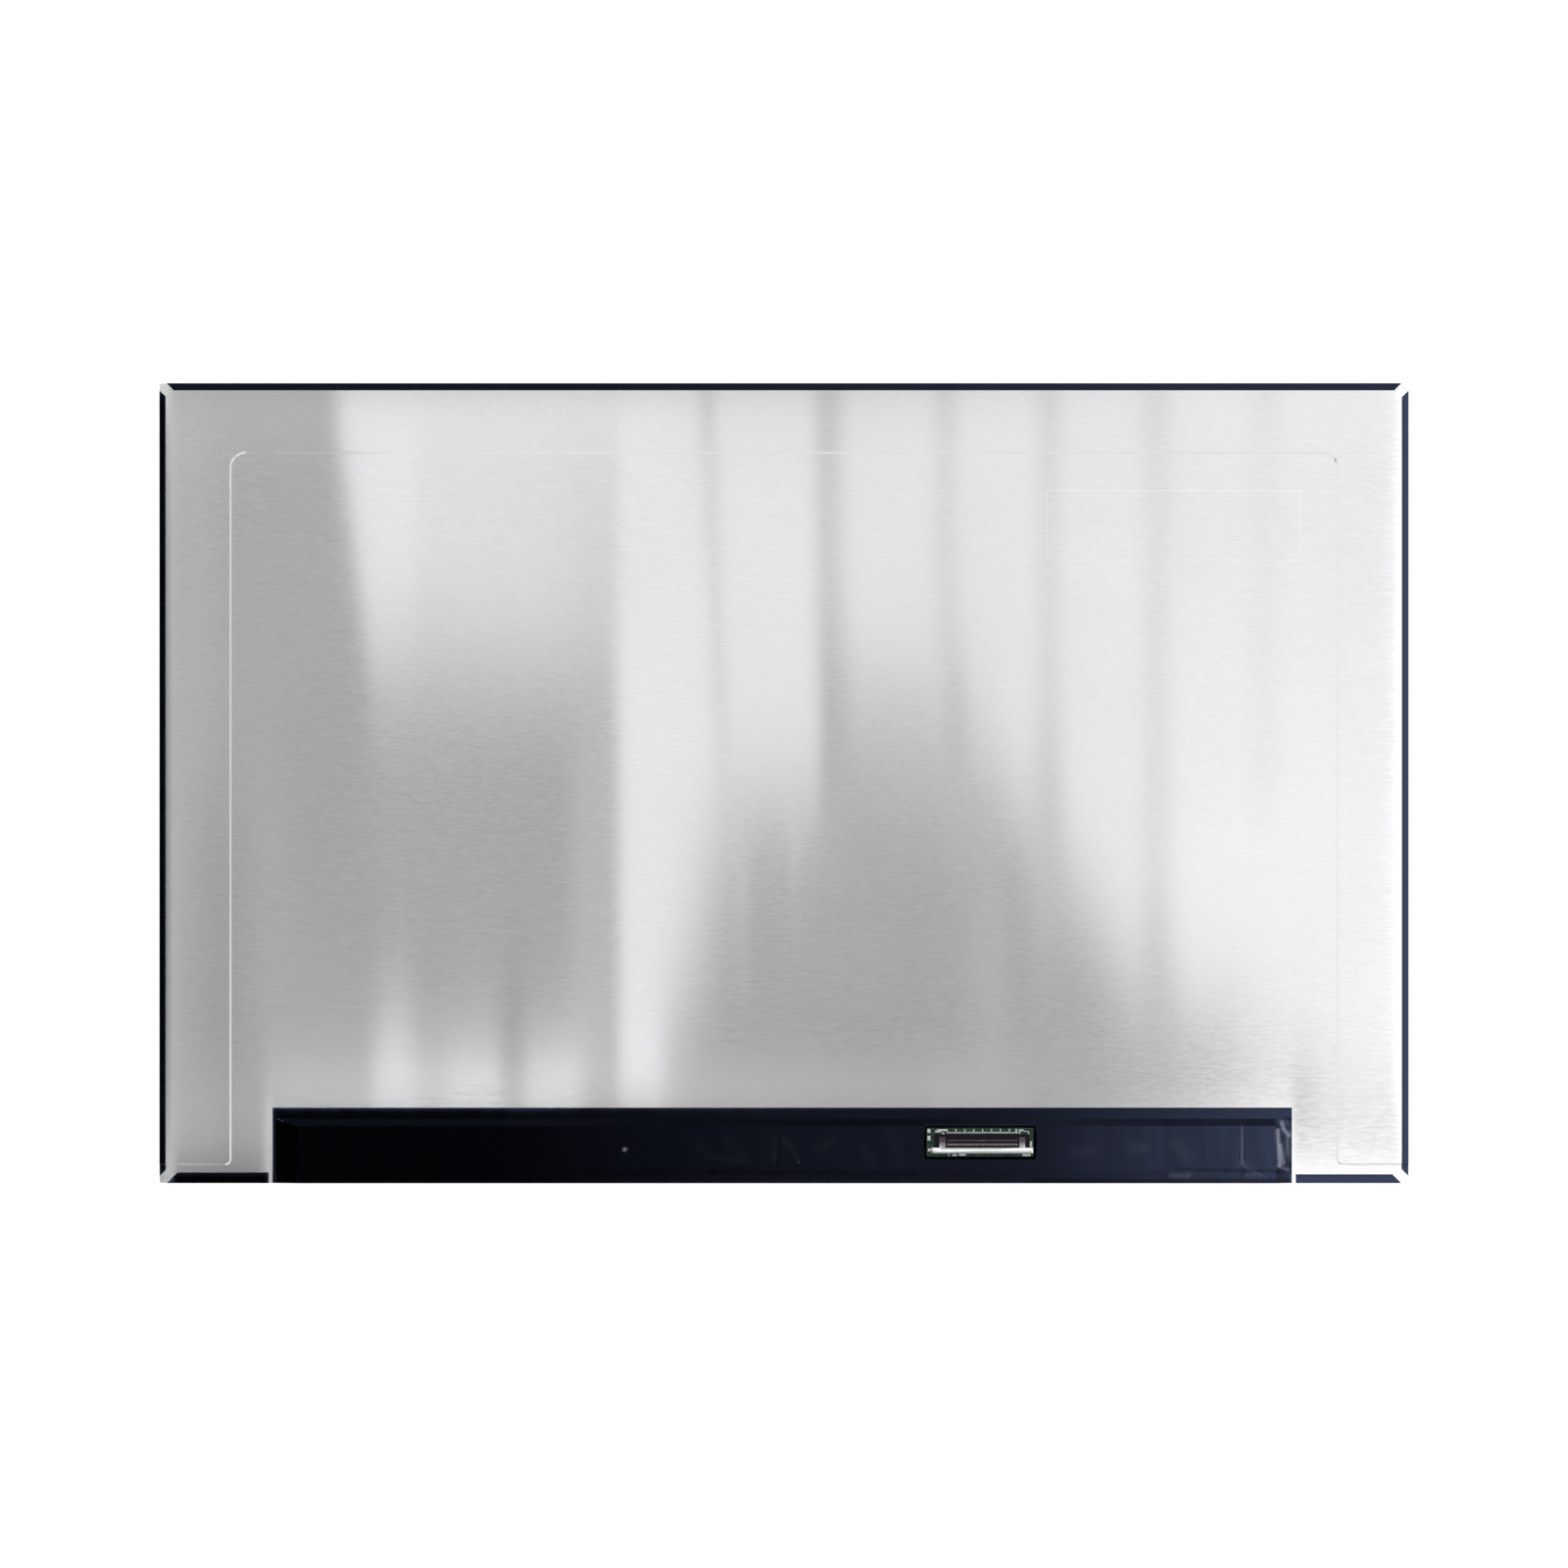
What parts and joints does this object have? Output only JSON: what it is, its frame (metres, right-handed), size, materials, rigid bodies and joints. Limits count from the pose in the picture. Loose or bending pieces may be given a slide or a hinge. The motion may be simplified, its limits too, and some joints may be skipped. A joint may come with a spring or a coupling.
{
  "type": "lcd screen panel",
  "caption": "Flat notebook display panel with a bare metal back, black edge tapes and a taped control board with a signal socket.",
  "frame": {"origin": "centre of the outline, on the front polariser's face, which the panel lies on", "axes": "+X to the right and +Y to the top edge as seen from the back, +Z out of the metal back"},
  "size_m": [0.3506, 0.2246, 0.0038],
  "materials": {
    "plate_metal": "bright rolled sheet with a fine grain",
    "black_tape": "smooth black polyester film",
    "front_polariser_film": "dark film with a fine anti-glare surface",
    "rear_polariser_film": "smooth dark film",
    "panel_glass": "clear polished glass",
    "prism_film": "clear film with fine parallel prisms",
    "diffuser_film": "milky white film",
    "guide_acrylic": "clear moulded sheet",
    "reflector_film": "bright white film",
    "frame_plastic": "fine moulded plastic",
    "rim_tape_film": "black double-sided tape",
    "board_laminate": "green solder mask",
    "adhesive_film": "tacky double-sided film",
    "chip_epoxy": "fine moulded epoxy",
    "inductor_ferrite": "pressed dark grey",
    "capacitor_ceramic": "fired tan ceramic with tinned ends",
    "resistor_ceramic": "fired black glaze with tinned ends",
    "connector_plastic": "dark moulded plastic",
    "connector_steel": "tinned pressed sheet",
    "contact_brass": "plated springs",
    "signal_film": "amber film with copper tracks",
    "lamp_resin": "white package with pale yellow resin",
    "lamp_flex": "white flexible film"
  },
  "bodies": {
    "root": {"front_polariser": "front_polariser_film", "colour_filter_glass": "panel_glass", "array_glass": "panel_glass", "rear_polariser": "rear_polariser_film", "rim_tape": "rim_tape_film", "moulded_frame": "frame_plastic", "upper_prism_sheet": "prism_film", "lower_prism_sheet": "prism_film", "diffuser_sheet": "diffuser_film", "light_guide": "guide_acrylic", "reflector_sheet": "reflector_film", "lamp_strip": "lamp_flex", "lamps": "lamp_resin", "back_plate": "plate_metal", "edge_tape_left": "black_tape", "edge_tape_right": "black_tape", "edge_tape_top": "black_tape", "edge_tape_bottom_left": "black_tape", "edge_tape_bottom_right": "black_tape", "board_adhesive": "adhesive_film", "control_board": "board_laminate", "timing_controller": "chip_epoxy", "power_controller": "chip_epoxy", "flash_memory": "chip_epoxy", "level_shifter": "chip_epoxy", "lamp_driver": "chip_epoxy", "power_inductor_1": "inductor_ferrite", "power_inductor_2": "inductor_ferrite", "power_inductor_3": "inductor_ferrite", "ceramic_capacitors": "capacitor_ceramic", "chip_resistors": "resistor_ceramic", "driver_film_1": "signal_film", "driver_film_2": "signal_film", "driver_film_3": "signal_film", "driver_film_4": "signal_film", "driver_chip_1": "chip_epoxy", "driver_chip_2": "chip_epoxy", "driver_chip_3": "chip_epoxy", "driver_chip_4": "chip_epoxy", "connector_housing": "connector_plastic", "connector_contacts": "contact_brass", "connector_shell": "connector_steel", "board_cover_tape": "black_tape"}
  },
  "joints": []
}
